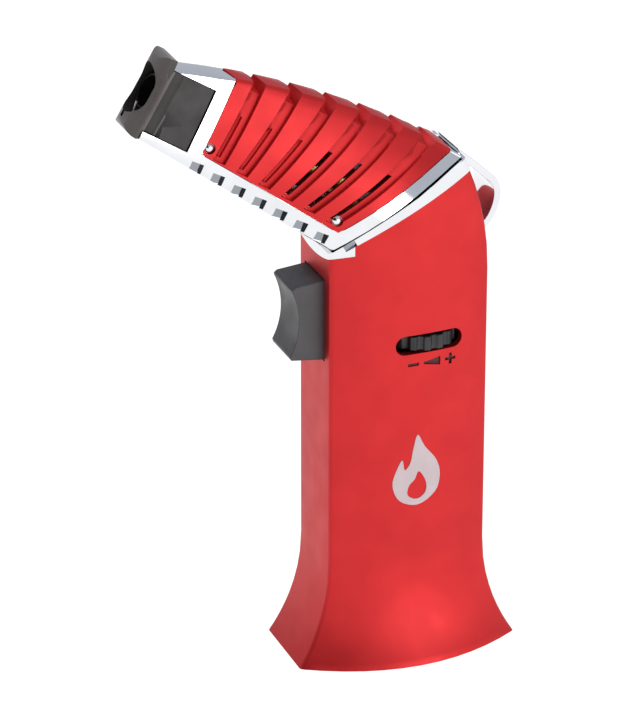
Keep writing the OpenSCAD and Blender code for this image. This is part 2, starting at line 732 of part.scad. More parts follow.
// Chrome bow behind the elbow: its outer line, drawn as x and z, from the head's top down to the collar
bow_line = smooth([
    [6.5, 127.4], [9.6, 125.9], [12.8, 124.2], [16.6, 121], [20.4, 117.6], [22.9, 115.1], [23.8, 112.6],
    [23.7, 110], [22.9, 107.4], [21.3, 104.7], [18.6, 102.4]
], 3);
bow_t = 1.6;
bow_half_w = 6;
function bow_normal(i) = let (t = tangent(bow_line, i)) [t[1], -t[0]];
bow_outline = concat(
    bow_line,
    [for (i = [len(bow_line) - 1 : -1 : 0]) bow_line[i] + bow_t * bow_normal(i)]
);
module rear_guard() color(chrome) difference() {
    translate([0, bow_half_w, 0]) rotate([90, 0, 0])
        linear_extrude(height = 2 * bow_half_w) polygon(bow_outline);
    handle_solid(-0.22, 90);
    at_head() intersection() {
        head_solid();
        head_side(0);
    }
}

burner_r = 2.8;
jet_u = 4;
front_plate_u = 51.5;
rear_plate_u = 10;
insulator_drop = 6;
insulator_r = 1;
flame_tube_r = 4.1;

// Flat plate that fills the head across station u
module bulkhead(u, thickness) {
    intersection() {
        head_solid(frame_wall + 0.05);
        translate([u, -big / 2, -big / 2]) cube([thickness, big, big]);
    }
}

module rear_bulkhead() color(steel) difference() {
    at_head() intersection() {
        bulkhead(rear_plate_u, 1.5);
        translate([-big / 2, -6.5, -8.4]) cube([big, 13, 20]);
        head_side(1);
    }
    at_burner(jet_u) cylinder(r = 2.02, h = 20);
}

module front_bulkhead() color(steel) difference() {
    at_head() bulkhead(front_plate_u, 1.5);
    at_burner(40) cylinder(r = burner_r + 0.02, h = 20);
    at_burner(40) translate([-insulator_drop, 0, 0]) cylinder(r = insulator_r + 0.02, h = 20);
}

module gas_jet() color(brass) difference() {
    union() {
        at_burner(jet_u) cylinder(r = 0.78, h = 4);
        at_burner(jet_u + 3) cylinder(r = 2.6, h = 3, $fn = 6);
        at_burner(jet_u + 5.9) cylinder(r = 2, h = 7);
    }
    at_burner(jet_u - 1) cylinder(r = 0.35, h = 20);
}

module burner_body() color(brass) difference() {
    union() {
        at_burner(rear_plate_u + 1.6) cylinder(r = burner_r, h = tube_u + 1 - rear_plate_u - 1.6);
        at_burner(rear_plate_u + 1.6) cylinder(r = 3.6, h = 3);
    }
    at_burner(jet_u) cylinder(r = 2.02, h = 13);
    at_burner(14) cylinder(r = 1.8, h = 50);
    for (a = [45 : 90 : 315]) at_burner(21) rotate([0, 0, a]) rotate([90, 0, 0]) cylinder(r = 1.1, h = 8);
}

tube_u = 53.5;
tube_end_u = 66.2;
module flame_tube() color(steel) difference() {
    at_burner(tube_u) cylinder(r = flame_tube_r, h = tube_end_u - tube_u);
    at_burner(tube_u - 1) cylinder(r = burner_r + 0.02, h = 3);
    at_burner(tube_u + 1) cylinder(r = flame_tube_r - 0.4, h = 20);
}

module flame_disc() color([0.75, 0.72, 0.66]) at_burner(58) difference() {
    cylinder(r = flame_tube_r - 0.42, h = 2);
    for (k = [0 : 7]) rotate([0, 0, 45 * k]) translate([2.5, 0, -1]) cylinder(r = 0.5, h = 4, $fn = 24);
    translate([0, 0, -1]) cylinder(r = 1, h = 4);
}

module ceramic_insulator() color("white") at_burner(30) translate([-insulator_drop, 0, 0])
    ring(insulator_r, 0.35, 34);

module spark_electrode() color(steel) at_burner(30.1) translate([-insulator_drop, 0, 0]) {
    cylinder(r = 0.3, h = 36.7);
    translate([0, 0, 36.4]) rotate([0, 78, 0]) cylinder(r = 0.3, h = 3);
}

guard_apex_u = 68.9;
guard_front_r = 6.6;
guard_v0 = -14.6;
guard_v1 = 4.7;
guard_edge_r = 2.6;
mouth_half_w = 4.5;
mouth_half_h = 6.1;

// Side outline of the guard's front, as u and v, with rounded corners
module guard_side() {
    translate([60, guard_v0]) square([guard_apex_u - guard_edge_r - 60, guard_v1 - guard_v0]);
    translate([60, guard_v0 + guard_edge_r])
        square([guard_apex_u - 60, guard_v1 - guard_v0 - 2 * guard_edge_r]);
    for (v = [guard_v0 + guard_edge_r, guard_v1 - guard_edge_r])
        translate([guard_apex_u - guard_edge_r, v]) circle(r = guard_edge_r);
}

scoop_u = 63.1;
scoop_y = 8;
scoop_r = 3.5;
module nozzle_guard() color(warm_grey) at_head() difference() {
    union() {
        intersection() {
            rotate([90, 0, 0]) linear_extrude(height = 40, center = true) guard_side();
            translate([0, 0, -30]) linear_extrude(height = 60) {
                translate([guard_apex_u - guard_front_r, 0]) circle(r = guard_front_r, $fn = 96);
                translate([guard_apex_u - guard_front_r - 1.8, -guard_front_r])
                    square([1.8, 2 * guard_front_r]);
            }
            translate([frame_end_u - 3, -20, -30]) cube([20, 40, 60]);
            skin([for (u = [55, 72]) [
                [u, -6.9, -16], [u, 6.9, -16], [u, 6.7, -5], [u, 4.4, 6], [u, -4.4, 6], [u, -6.7, -5]
            ]]);
        }
        intersection() {
            head_solid(0.5);
            translate([window_u + 0.2, -20, window_v0 + 0.15])
                cube([frame_end_u - window_u, 40, window_v1 - window_v0 - 0.3]);
        }
    }
    for (v = [window_v1 - 0.15, window_v0 + 0.15 - 40])
        translate([frame_end_u - 20, -30, v]) cube([20.1, 60, 40]);
    for (side = [-1, 1]) translate([scoop_u, side * scoop_y, 0]) cylinder(r = scoop_r, h = 60, center = true);
    translate([40, 0, -burner_drop]) rotate([0, 90, 0]) cylinder(r = flame_tube_r + 0.02, h = 26.3);
    for (dv = [-1, 1]) translate([62, 0, -burner_drop + dv * (mouth_half_h - mouth_half_w)])
        rotate([0, 90, 0]) cylinder(r = mouth_half_w, h = 20);
    translate([62, -mouth_half_w, -burner_drop - mouth_half_h + mouth_half_w])
        cube([20, 2 * mouth_half_w, 2 * (mouth_half_h - mouth_half_w)]);
    translate([62, -0.55, -burner_drop - mouth_half_h - 1.4]) cube([20, 1.1, 4]);
    translate([40, 0, -burner_drop - insulator_drop]) rotate([0, 90, 0])
        cylinder(r = insulator_r + 0.02, h = 25);
}

handle_shell_left();
handle_shell_right();
base_plate();
base_screws();
flame_mark();
tank_body();
tank_cap();
fill_valve_body();
fill_valve_stem();
fill_valve_spring();
fill_valve_seal();
fill_valve_retainer();
outlet_valve_body();
valve_bonnet();
valve_seal();
valve_stem();
valve_spring();
gas_wick();
gas_wheel();
gas_hose();
chassis();
chassis_screws();
valve_lever();
lever_pin();
trigger();
piezo_body();
piezo_plunger();
piezo_spring();
ignition_wire();
trim_collar();
head_frame();
vent_cover();
cover_screws();
rear_guard();
rear_bulkhead();
front_bulkhead();
gas_jet();
burner_body();
flame_tube();
flame_disc();
ceramic_insulator();
spark_electrode();
nozzle_guard();
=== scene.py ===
"""The looks of a table-top jet torch: materials, finished meshes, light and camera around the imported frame.

Lengths are in millimetres times MM. +Z is up, the nozzle points to -X and the gas wheel's slot is on -Y.
"""
import json
import math

import bmesh
import bpy
from mathutils import Matrix, Vector


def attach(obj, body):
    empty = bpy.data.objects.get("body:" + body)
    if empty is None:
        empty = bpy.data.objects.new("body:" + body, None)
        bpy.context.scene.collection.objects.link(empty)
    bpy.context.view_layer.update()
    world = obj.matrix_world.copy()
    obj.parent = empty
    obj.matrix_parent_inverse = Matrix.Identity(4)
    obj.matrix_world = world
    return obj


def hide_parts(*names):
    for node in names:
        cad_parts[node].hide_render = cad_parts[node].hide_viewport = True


MM = 0.001

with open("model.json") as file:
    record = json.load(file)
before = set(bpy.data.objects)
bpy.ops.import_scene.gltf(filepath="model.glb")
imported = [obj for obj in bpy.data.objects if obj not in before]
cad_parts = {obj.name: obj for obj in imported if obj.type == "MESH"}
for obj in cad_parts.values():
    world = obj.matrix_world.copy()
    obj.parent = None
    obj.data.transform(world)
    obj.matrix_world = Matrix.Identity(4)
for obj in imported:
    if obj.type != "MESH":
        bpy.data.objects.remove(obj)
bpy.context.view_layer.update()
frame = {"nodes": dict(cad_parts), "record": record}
nodes = frame["nodes"]
scene = bpy.context.scene


# ---------------------------------------------------------------- camera

VIEW_AZIMUTH = math.radians(-21.1)
VIEW_ELEVATION = math.radians(24.1)
VIEW_CENTRE = Vector((-19.5, 0, 74.1))
VIEW_DISTANCE = 0.9
LENS = 194.85


def make_camera():
    az, el = VIEW_AZIMUTH, VIEW_ELEVATION
    back = Vector((math.sin(az) * math.cos(el), -math.cos(az) * math.cos(el), math.sin(el)))
    right = Vector((math.cos(az), math.sin(az), 0))
    up = back.cross(right)
    data = bpy.data.cameras.new("camera")
    data.lens = LENS
    data.sensor_width = 36
    data.clip_start = 0.05
    data.clip_end = 20
    cam = bpy.data.objects.new("camera", data)
    scene.collection.objects.link(cam)
    pose = Matrix((right, up, back)).transposed().to_4x4()
    pose.translation = VIEW_CENTRE * MM + back * VIEW_DISTANCE
    cam.matrix_world = pose
    scene.camera = cam


# ---------------------------------------------------------------- materials

class Nodes:
    """A small helper that wires shader nodes by name."""

    def __init__(self, name):
        self.mat = bpy.data.materials.new(name)
        self.mat.use_nodes = True
        self.tree = self.mat.node_tree
        self.bsdf = self.tree.nodes["Principled BSDF"]
        self.coord = self.add("ShaderNodeTexCoord").outputs["Object"]

    def add(self, kind, **props):
        node = self.tree.nodes.new(kind)
        for key, value in props.items():
            setattr(node, key, value)
        return node

    def link(self, a, b):
        self.tree.links.new(a, b)

    def set(self, **values):
        for key, value in values.items():
            self.bsdf.inputs[key.replace("_", " ")].default_value = value

    def noise(self, scale, detail=3, rough=0.5, stretch=None):
        node = self.add("ShaderNodeTexNoise")
        node.inputs["Scale"].default_value = scale
        node.inputs["Detail"].default_value = detail
        node.inputs["Roughness"].default_value = rough
        source = self.coord
        if stretch:
            mapping = self.add("ShaderNodeMapping")
            mapping.inputs["Scale"].default_value = stretch
            self.link(source, mapping.inputs["Vector"])
            source = mapping.outputs["Vector"]
        self.link(source, node.inputs["Vector"])
        return node.outputs["Fac"]

    def remap(self, value, low, high, from_low=0.0, from_high=1.0):
        node = self.add("ShaderNodeMapRange")
        self.link(value, node.inputs["Value"])
        node.inputs["From Min"].default_value = from_low
        node.inputs["From Max"].default_value = from_high
        node.inputs["To Min"].default_value = low
        node.inputs["To Max"].default_value = high
        return node.outputs["Result"]

    def mix(self, fac, a, b):
        """Colour a where fac is 0 and colour b where it is 1."""
        node = self.add("ShaderNodeMix", data_type="RGBA")
        self.link(fac, node.inputs["Factor"])
        for value, key in ((a, "A"), (b, "B")):
            socket = [s for s in node.inputs if s.name == key and s.type == "RGBA"][0]
            socket.default_value = (*value, 1)
        return [s for s in node.outputs if s.type == "RGBA"][0]

    def bump(self, height, distance, strength=1.0):
        node = self.add("ShaderNodeBump")
        node.inputs["Distance"].default_value = distance
        node.inputs["Strength"].default_value = strength
        self.link(height, node.inputs["Height"])
        self.link(node.outputs["Normal"], self.bsdf.inputs["Normal"])

    def rough(self, low, high, scale=120):
        self.link(self.remap(self.noise(scale), low, high, 0.3, 0.7), self.bsdf.inputs["Roughness"])


def red_paint():
    n = Nodes("red_paint")
    mottle = n.remap(n.noise(90, 4), 0, 1, 0.35, 0.65)
    n.link(n.mix(mottle, (0.56, 0.019, 0.021), (0.61, 0.023, 0.025)), n.bsdf.inputs["Base Color"])
    n.rough(0.46, 0.54, 160)
    n.bump(n.noise(2600, 2), 0.000012, 0.35)
    n.set(Metallic=0.8, IOR=1.5, Specular_IOR_Level=0.5, Coat_Weight=0.1, Coat_Roughness=0.35)
    return n.mat


def chrome(name, tint):
    n = Nodes(name)
    haze = n.remap(n.noise(140, 4), 0, 1, 0.4, 0.65)
    n.link(n.mix(haze, tint, tuple(c * 0.95 for c in tint)), n.bsdf.inputs["Base Color"])
    n.rough(0.05, 0.11, 220)
    n.bump(n.noise(700, 3), 0.00001, 0.2)
    n.set(Metallic=1.0)
    return n.mat


def moulded(name, dark, light, low, high, grain=1800, depth=0.00002, spec=0.5):
    n = Nodes(name)
    mottle = n.remap(n.noise(130, 4), 0, 1, 0.35, 0.65)
    n.link(n.mix(mottle, dark, light), n.bsdf.inputs["Base Color"])
    n.rough(low, high, 200)
    n.bump(n.noise(grain, 3), depth, 0.6)
    n.set(Specular_IOR_Level=spec)
    return n.mat


def metal(name, dark, light, low, high, stretch=(1, 1, 12), grain=500):
    n = Nodes(name)
    streak = n.remap(n.noise(grain, 4, 0.6, stretch), 0, 1, 0.3, 0.7)
    n.link(n.mix(streak, dark, light), n.bsdf.inputs["Base Color"])
    n.link(n.remap(streak, low, high), n.bsdf.inputs["Roughness"])
    n.bump(n.noise(grain * 2, 2, 0.5, stretch), 0.000008, 0.4)
    n.set(Metallic=1.0)
    return n.mat


# name, darker and lighter colour, lowest and highest roughness, then grain, its depth and the specular level
MOULDED = (
    ("guard_coating", (0.026, 0.021, 0.020), (0.038, 0.031, 0.029), 0.40, 0.54, 2200, 0.00003, 0.4),
    # guard rim: a lighter copy of the guard's coating, painted light and reflection on the rim
    ("guard_rim_painted_light", (0.115, 0.100, 0.092), (0.145, 0.128, 0.118), 0.30, 0.42, 2200, 0.00002),
    # engraved signs: a darker red painted as shade on their floors
    ("engraving_painted_shade", (0.060, 0.006, 0.008), (0.090, 0.008, 0.010), 0.5, 0.65),
    ("trigger_plastic", (0.050, 0.047, 0.049), (0.066, 0.061, 0.063), 0.44, 0.58),
    ("black_plastic", (0.010, 0.010, 0.012), (0.020, 0.020, 0.022), 0.30, 0.45),
    ("dark_plastic", (0.020, 0.020, 0.022), (0.032, 0.032, 0.034), 0.45, 0.6),
    ("nylon", (0.72, 0.70, 0.62), (0.80, 0.78, 0.71), 0.45, 0.6),
    ("rubber", (0.018, 0.018, 0.018), (0.035, 0.034, 0.033), 0.6, 0.8),
    ("wick", (0.70, 0.66, 0.55), (0.86, 0.83, 0.73), 0.8, 0.95, 900, 0.0002),
    ("wire_sleeve", (0.80, 0.80, 0.77), (0.88, 0.88, 0.86), 0.3, 0.42),
    ("ceramic", (0.78, 0.76, 0.70), (0.88, 0.87, 0.82), 0.25, 0.5),
    ("white_print", (0.56, 0.45, 0.46), (0.62, 0.51, 0.52), 0.4, 0.55),
)


def make_materials():
    made = {
        "red_paint": red_paint(),
        "chrome_plate": chrome("chrome_plate", (0.78, 0.79, 0.81)),
        # a darker copy of the chrome, painted shade on the pocket floors
        "painted_shade_chrome": chrome("painted_shade_chrome", (0.30, 0.32, 0.35)),
        "steel": metal("steel", (0.50, 0.50, 0.52), (0.68, 0.68, 0.70), 0.22, 0.42),
        "burnt_steel": metal("burnt_steel", (0.020, 0.019, 0.020), (0.045, 0.042, 0.043), 0.4, 0.6),
        "brass": metal("brass", (0.70, 0.48, 0.18), (0.86, 0.64, 0.28), 0.16, 0.34),
    }
    for name, dark, light, low, high, *grain in MOULDED:
        made[name] = moulded(name, dark, light, low, high, *grain)
    return made


# ---------------------------------------------------------------- meshes

def shade(obj, angle=32):
    """Smooth shading with sharp edges wherever two faces meet at more than the angle."""
    mesh = obj.data
    bm = bmesh.new()
    bm.from_mesh(mesh)
    for f in bm.faces:
        f.smooth = True
    for e in bm.edges:
        if len(e.link_faces) == 2:
            e.smooth = e.calc_face_angle(0) < math.radians(angle)
    bm.to_mesh(mesh)
    bm.free()


def copy_of(node, name, body):
    """A copy of a CAD node's mesh, welded and cleaned, that stands for the node."""
    src = nodes[node]
    mesh = src.data.copy()
    obj = bpy.data.objects.new(name, mesh)
    scene.collection.objects.link(obj)
    bm = bmesh.new()
    bm.from_mesh(mesh)
    bmesh.ops.remove_doubles(bm, verts=bm.verts, dist=0.000002)
    bmesh.ops.dissolve_limit(bm, angle_limit=math.radians(0.6), verts=bm.verts, edges=bm.edges)
    bm.to_mesh(mesh)
    bm.free()
    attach(obj, body)
    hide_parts(node)
    return obj


def bevel(obj, width, angle):
    """Rounds the edges sharper than the angle, in degrees, by the width in mm."""
    m = obj.modifiers.new("edge", "BEVEL")
    m.width = width * MM
    m.segments = 2
    m.limit_method = "ANGLE"
    m.angle_limit = math.radians(angle)


def paint(obj, slot_name):
    obj.data.materials.clear()
    obj.data.materials.append(mats[slot_name])


# ---------------------------------------------------------------- handle surface

# The handle's waist height, how far the foot spreads, half its depth, and where its back starts to lean
WAIST = 26.0
SPREAD = 7.8
HALF_DEPTH = 19.6
LEAN_Z = 95
FOOT_R = (WAIST ** 2 + SPREAD ** 2) / (2 * SPREAD)
EDGE_BAND = 1.2
ON_SURFACE = 0.09


def handle_side(x, z):
    """Half width of the handle at x and z, in mm, and how far x lies from its front and back faces."""
    flare = 0 if z >= WAIST else (FOOT_R - math.sqrt(FOOT_R ** 2 - (WAIST - max(z, 0)) ** 2)) / SPREAD
    lean = 0 if z <= LEAN_Z else (z - LEAN_Z) ** 2 / 126
    x0 = -HALF_DEPTH - SPREAD * flare
    x1 = HALF_DEPTH + SPREAD * flare - lean
    t = min(max((x - x0) / (x1 - x0), 0), 1)
    edge = 9.5 + 1.3 * flare
    bulge = 2.5 + 6 * flare
    return edge + bulge * 4 * t * (1 - t), min(x - x0, x1 - x)


def side_normal(x, z, sign):
    """Direction that the true surface of the handle's side faces; sign is that of its y."""
    slope_x = (handle_side(x + 0.2, z)[0] - handle_side(x - 0.2, z)[0]) / 0.4
    slope_z = (handle_side(x, z + 0.4)[0] - handle_side(x, z - 0.4)[0]) / 0.8
    return Vector((-slope_x, sign, -slope_z)).normalized()


def smooth_sides(obj):
    """Bakes the modifiers, then gives the handle's curved sides the normals of the true surface."""
    depsgraph = bpy.context.evaluated_depsgraph_get()
    mesh = bpy.data.meshes.new_from_object(obj.evaluated_get(depsgraph))
    obj.modifiers.clear()
    obj.data = mesh
    normals = [Vector(n.vector) for n in mesh.corner_normals]
    for face in mesh.polygons:
        for k in face.loop_indices:
            x, y, z = mesh.vertices[mesh.loops[k].vertex_index].co / MM
            half, inset = handle_side(x, z)
            if inset > EDGE_BAND and abs(abs(y) - half) < ON_SURFACE:
                true = side_normal(x, z, 1 if y > 0 else -1)
                if true.dot(face.normal) > 0.93:
                    normals[k] = true
    mesh.normals_split_custom_set(normals)


# ---------------------------------------------------------------- head shape

# The head rises at TILT from the elbow: u runs along it to the nozzle, v across it, and y is shared
TILT = math.radians(31)
ELBOW = 115.4
U_AXIS = Vector((-math.cos(TILT), 0, math.sin(TILT)))
V_AXIS = Vector((math.sin(TILT), 0, math.cos(TILT)))


def lerp(a, b, t):
    return a + (b - a) * t


def from_head(u, y, v):
    """A point of the head's frame, in mm, as a point of the row frame in metres."""
    return (U_AXIS * u + V_AXIS * v + Vector((0, y, ELBOW))) * MM


def head_uv(point):
    """Station u and height v of a point in mm."""
    up = point - Vector((0, 0, ELBOW))
    return up.dot(U_AXIS), up.dot(V_AXIS)


NOSE_U = 65
TOP_V = 13.3


def top_v(u):
    return TOP_V - 0.0022 * max(u + 5, 0) ** 2


def bottom_v(u):
    return -14.5 - (NOSE_U - u) * 0.0815


def head_y(u, v):
    """Half width of the head at station u and height v."""
    s = min(max((v - bottom_v(u)) / (top_v(u) - bottom_v(u)), 0), 1)
    low = 5.8 + (NOSE_U - u) * 0.069
    high = 4.0 + 5.2 * (min(max(6 - u, 0), 14) / 14) ** 2
    bulge = 5 * min(max((NOSE_U - u) / NOSE_U, 0), 1) ** 1.5
    return low * (1 - s) + high * s + bulge * 4 * s * (1 - s)


# ---------------------------------------------------------------- second tones on one node: painted shade, painted light and the flame tube's burn

MARKS_Z = 74.7
MOUTH_V = -4.7
RIM_U = 61.5
RAIL_V = -12.6
POCKET_DEPTH = 1
TRIM_POCKET = Vector((-15.1, 10.3, 105.95))


def second_tone(obj, material, chosen):
    """Gives a second material to the faces that chosen() picks by their centre, in mm, and normal."""
    obj.data.materials.append(mats[material])
    for face in obj.data.polygons:
        if chosen(face.center / MM, face.normal):
            face.material_index = 1


def in_engraving(centre, normal):
    """Floors of the signs engraved under the gas wheel; they take a darker red, painted shade in the
    recesses.
    """
    depth = handle_side(centre.x, centre.z)[0] - abs(centre.y)
    return abs(centre.z - MARKS_Z) < 1.6 and -1.6 < centre.x < 11.4 and 0.25 < depth < 1.2


def on_guard_rim(centre, normal):
    """The guard's front rim and scooped cheeks, without its flat sides and its mouth; they take a lighter
    copy of the coating, painted light and reflection on the rim.
    """
    u, v = head_uv(centre)
    outward = normal.y * centre.y + normal.dot(V_AXIS) * (v - MOUTH_V) > 0
    return u > RIM_U and abs(normal.y) < 0.93 and (outward or normal.dot(U_AXIS) > 0.3)


def in_rail_pocket(centre, normal):
    """Floors of the pockets along the head's lower rail; they take a darker chrome, painted shade in the
    pockets.
    """
    u, v = head_uv(centre)
    return v < RAIL_V and abs(normal.y) > 0.8 and abs(head_y(u, v) - POCKET_DEPTH - abs(centre.y)) < 0.4


def in_trim_pocket(centre, normal):
    """Floors of the collar's two pockets; they take a darker chrome, painted shade in the pockets."""
    dx, dy, dz = Vector((centre.x, abs(centre.y), centre.z)) - TRIM_POCKET
    return abs(normal.y) > 0.8 and abs(dx) < 2 and abs(dy) < 0.25 and abs(dz) < 1.5


def everywhere(centre, normal):
    return True


# node: the second material and the rule for the faces that take it; all but the burnt steel paint shade or
# light onto the node
SECOND_TONES = {
    "handle_shell_left": ("engraving_painted_shade", in_engraving),
    "nozzle_guard": ("guard_rim_painted_light", on_guard_rim),
    "head_frame": ("painted_shade_chrome", in_rail_pocket),
    "trim_collar": ("painted_shade_chrome", in_trim_pocket),
    "flame_tube": ("burnt_steel", everywhere),
}


# ---------------------------------------------------------------- finishing the nodes

# node: bevel width in mm and smallest angle that counts as an edge
FINISHED = {
    "handle_shell_left": (0.25, 40),
    "handle_shell_right": (0.25, 40),
    "trim_collar": (0.18, 40),
    "head_frame": (0.2, 40),
    "rear_guard": (0.3, 40),
    "nozzle_guard": (0.35, 40),
    "trigger": (0.6, 35),
    "gas_wheel": (0.2, 40),
    "base_plate": (0.2, 40),
}


def node_body(node):
    for body, names in frame["record"]["behaviour"]["bodies"].items():
        if node in names:
            return body
    raise KeyError(node)


def finish_nodes():
    slots = {s["node"]: s["material_slot"] for s in frame["record"]["subparts"]}
    for name, src in nodes.items():
        if src.hide_render:
            continue
        if name == "vent_cover":
            obj = make_cover()
            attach(obj, node_body(name))
            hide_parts(name)
            shade(obj)
            bevel(obj, 0.15, 28)
        elif name in FINISHED:
            width, angle = FINISHED[name]
            obj = copy_of(name, name + "_finished", node_body(name))
            shade(obj)
            bevel(obj, width, angle)
            if name.startswith("handle_shell"):
                smooth_sides(obj)
        else:
            obj = src
        paint(obj, slots[name])
        if name in SECOND_TONES:
            second_tone(obj, *SECOND_TONES[name])


# ---------------------------------------------------------------- vent cover

# Channels are counted from the nozzle; the first CLOSED of them have blind slots
CHANNELS = 6
CLOSED = 3
HALF_W = 1.55
DEPTH = 0.85
SHALLOW = 0.06
SLOT = (0.15, 1.4)
SLOT_DEPTH = 0.45
# Height of a rib's crest at its front and rear, and how far it leans to the nozzle or back at each
RIDGE_FRONT = 0.9
RIDGE_REAR = 0.3
RIDGE_NOTCH = 0.15
FRONT_RISE = 1.9
CHEVRON = 2.3
CHEVRON_REAR = -0.3
WALL = 0.8
# Rows of a column that an open slot takes out, and the last row of its side
SLOT_ROWS = range(5, 13)
LAST_SIDE_ROW = 17
RECESSES = ((48.95, -9.6), (13.9, -11.9))
RECESS_R = 1.3
RECESS_DEPTH = 0.7


def channel_foot(k):
    """u and v of the lower end of a channel's middle line."""
    return 45.6 - 6.1 * k, -11.5 - 0.3 * k


def channel_head(k):
    """u and v of its upper end."""
    return 44.6 - 8.62 * k, 5.75 + 1.15 * k


def slot_span(k):
    """v of the lower and the upper end of a slot."""
    return -10.4 - 0.36 * k, -0.3 + 0.56 * k


def lower_edge(u):
    """v of the cover's lower edge."""
    return lerp(-14.1, -11.55, (u - 14) / 35.2)


class Column:
    """A line up the cover's side: where it runs, how deep its floor lies, and its height on top."""

    def __init__(self, foot, head, levels, ridge, shift=0.0, floor=0.0, slot_floor=None, notched=False):
        self.foot, self.head, self.levels = foot, head, levels
        self.floor = floor
        self.slot_floor = floor if slot_floor is None else slot_floor
        self.ridge, self.shift, self.notched = ridge, shift, notched

    def u_at(self, v):
        return lerp(self.foot[0], self.head[0], (v - self.foot[1]) / (self.head[1] - self.foot[1]))

    def points(self):
        """Points from the lower edge to the middle of the top, as (u, y, v)."""
        foot_v, slot_v0, slot_v1, ledge_v = self.levels
        rim = lower_edge(self.u_at(foot_v))
        side = [(rim, 0), (lerp(rim, foot_v, 0.5), 0), (foot_v, 0), (foot_v + 0.14, self.floor)]
        side += [(slot_v0, self.floor), (slot_v0 + 0.1, self.slot_floor)]
        side += [(lerp(slot_v0, slot_v1, k / 8), self.slot_floor) for k in range(1, 8)]
        side += [(slot_v1 - 0.1, self.slot_floor), (slot_v1, self.floor)]
        side += [(lerp(slot_v1, ledge_v, k / 3), self.floor) for k in (1, 2)]
        pts = [(self.u_at(v), head_y(self.u_at(v), v) - depth, v) for v, depth in side]
        top_edge = self.u_at(top_v(self.u_at(ledge_v + 3)))
        middle_u = top_edge + self.shift
        if self.notched:
            u = self.u_at(ledge_v)
            y = head_y(u, ledge_v) - self.floor
            rows = [(u, y, ledge_v - 0.35), (u, y - 0.15, ledge_v - 0.03)]
            rows += [(lerp(u, middle_u, 0.3), y - 1.3, ledge_v + 0.45)]
            rows += [(lerp(u, middle_u, 0.45), y - 2.0, ledge_v + 0.6)]
        else:
            vt = top_v(top_edge)
            y = head_y(top_edge, vt)
            rows = [(self.u_at(v), head_y(self.u_at(v), v), v) for v in (ledge_v, vt - 0.9)]
            rows += [(top_edge, y - 0.05, vt - 0.35), (top_edge, y - 0.4, vt + 0.04)]
        pts += rows
        vm = top_v(middle_u) + self.ridge
        last_u, last_y, last_v = pts[-1]
        for t in (0.35, 0.7):
            rise = 1 - (1 - t) ** (2.4 if self.notched else 1.15)
            pts.append((lerp(last_u, middle_u, t), last_y * (1 - t), lerp(last_v, vm, rise)))
        pts.append((middle_u, 0, vm))
        return pts


def edge_line(k, du):
    """A channel's middle line moved by du, as its lower and upper points."""
    foot, head = channel_foot(k), channel_head(k)
    return (foot[0] + du, foot[1]), (head[0] + du, head[1])


def at_height(line, v):
    (u0, v0), (u1, v1) = line
    return lerp(u0, u1, (v - v0) / (v1 - v0))


def between(a, b, t, v0, v1):
    """The line from height v0 to v1 that lies t of the way from line a to line b."""
    return tuple((lerp(at_height(a, v), at_height(b, v), t), v) for v in (v0, v1))


def land(line, t, levels):
    """A column on a rib, t of the way from its rear edge to its front edge."""
    return Column(*line, levels, lerp(RIDGE_REAR, RIDGE_FRONT, t), lerp(CHEVRON_REAR, CHEVRON, t))


def channel_floor(du):
    """Depth of a channel's floor: deep at its rear side and nearly flush at its front side."""
    return SHALLOW + (DEPTH - SHALLOW) * (HALF_W - du) / (2 * HALF_W)


def channel_columns(k, levels):
    """The columns across a channel's floor; an open slot lies between the last two."""
    spots = [(-HALF_W + 0.12, None), (-0.7, None), (SLOT[0], None)]
    if k >= CLOSED:
        spots += [(SLOT[1], None)]
    else:
        spots += [(SLOT[0] + 0.08, channel_floor(SLOT[0]) + SLOT_DEPTH)]
        spots += [(SLOT[1], channel_floor(SLOT[1]) + 0.12)]
    made = []
    for du, slot_floor in spots:
        shift = lerp(CHEVRON, CHEVRON_REAR, (du + HALF_W) / (2 * HALF_W))
        floor = channel_floor(du)
        made.append(Column(*edge_line(k, du), levels, RIDGE_NOTCH, shift, floor, slot_floor, True))
    return made


def cover_columns():
    """Columns from the cover's rear edge to its front edge, and those with an open slot after them."""
    levels = [(channel_foot(k)[1], *slot_span(k), channel_head(k)[1]) for k in range(CHANNELS)]
    rear = ((11.55, -13.0), (-4.72, 13.3))
    front = ((50.05, -11), (50.05, 8))
    last = edge_line(CHANNELS - 1, -HALF_W)
    cols = [land(between(rear, last, t, -13.0, 12.0), t, levels[-1]) for t in (0, 0.12, 0.5, 0.88)]
    open_after = set()
    for k in range(CHANNELS - 1, -1, -1):
        cols.append(land(edge_line(k, -HALF_W), 1, levels[k]))
        cols += channel_columns(k, levels[k])
        if k >= CLOSED:
            open_after.add(len(cols) - 2)
        here = edge_line(k, HALF_W)
        cols.append(land(here, 0, levels[k]))
        if k:
            there, steps = edge_line(k - 1, -HALF_W), (0.06, 0.5, 0.94)
        else:
            there, steps = front, (0.1, 0.5, 0.9)
        for t in steps:
            mixed = tuple(lerp(a, b, t) for a, b in zip(levels[k], levels[max(k - 1, 0)]))
            cols.append(land(between(here, there, t, -12, 8), t if k else min(FRONT_RISE * t, 1), mixed))
    cols.append(land(front, 1, levels[0]))
    return cols, open_after


def inner_point(u, y, v, top_row):
    """The point behind an outer point of the cover, about one wall thickness further in."""
    return (u, y * 0.8, v - WALL) if top_row else (u, max(y - WALL, 0), v)


